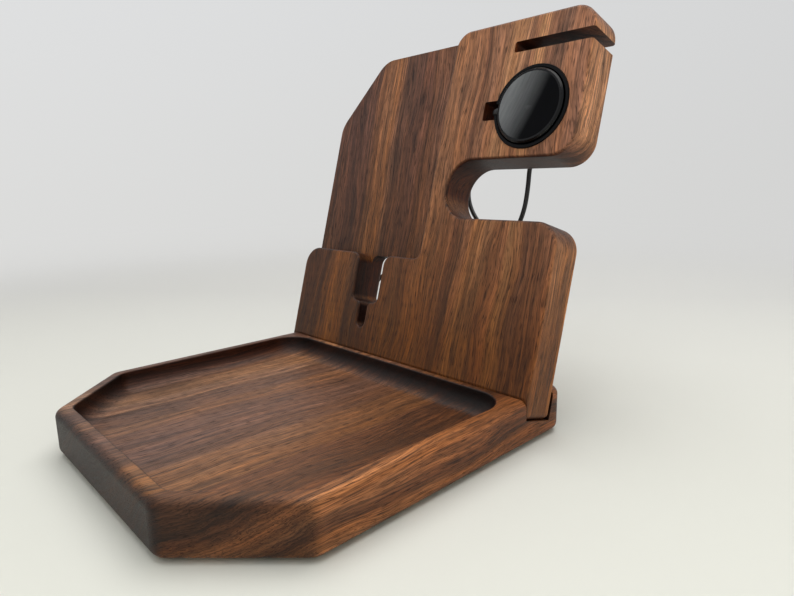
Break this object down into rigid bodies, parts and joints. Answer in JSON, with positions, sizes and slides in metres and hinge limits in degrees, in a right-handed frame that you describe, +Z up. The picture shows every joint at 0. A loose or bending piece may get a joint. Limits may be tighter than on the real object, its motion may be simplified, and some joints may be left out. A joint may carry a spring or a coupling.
{
  "type": "bedside charging stand",
  "caption": "Wooden bedside charging stand: a hollowed tray with a leaning board that has a phone pocket, a bay and a round watch charger on a cord.",
  "frame": {"origin": "on the table, under the middle of the stand's overall footprint without its cord", "axes": "+Z up, +Y from the tray's front edge towards the leaning board's back, +X to the right seen from the front"},
  "size_m": [0.2136, 0.2466, 0.2019],
  "materials": {
    "walnut": "satin oil",
    "pad_rubber": "matte",
    "black_plastic": "satin",
    "charger_face": "satin gloss",
    "charger_rim": "anodised satin",
    "cord_jacket": "satin",
    "circuit": "satin",
    "ferrite": "matte",
    "copper": "bright",
    "plated_steel": "bright"
  },
  "bodies": {
    "tray": {"base_tray": "walnut", "anti_slip_pads": "pad_rubber", "cord_coil": "cord_jacket", "plug_strain_relief": "cord_jacket", "plug_body": "black_plastic", "plug_shell": "plated_steel", "plug_tongue": "black_plastic", "plug_contacts": "copper"},
    "upright": {"upright_panel": "walnut", "charger_cup": "black_plastic", "charger_cord": "cord_jacket"},
    "charger": {"puck_shell": "black_plastic", "puck_rim": "charger_rim", "puck_face": "charger_face", "circuit_board": "circuit", "ferrite_disc": "ferrite", "charging_winding": "copper", "centre_magnet": "plated_steel", "puck_strain_relief": "cord_jacket"}
  },
  "joints": [
    {"name": "upright_lift", "type": "slide", "parent": "tray", "child": "upright", "axis": [0, 0.2672, 0.9636], "range_m": [0, 0.03]},
    {"name": "charger_pull", "type": "slide", "parent": "upright", "child": "charger", "axis": [0, -0.9636, 0.2672], "range_m": [0, 0.012]}
  ]
}
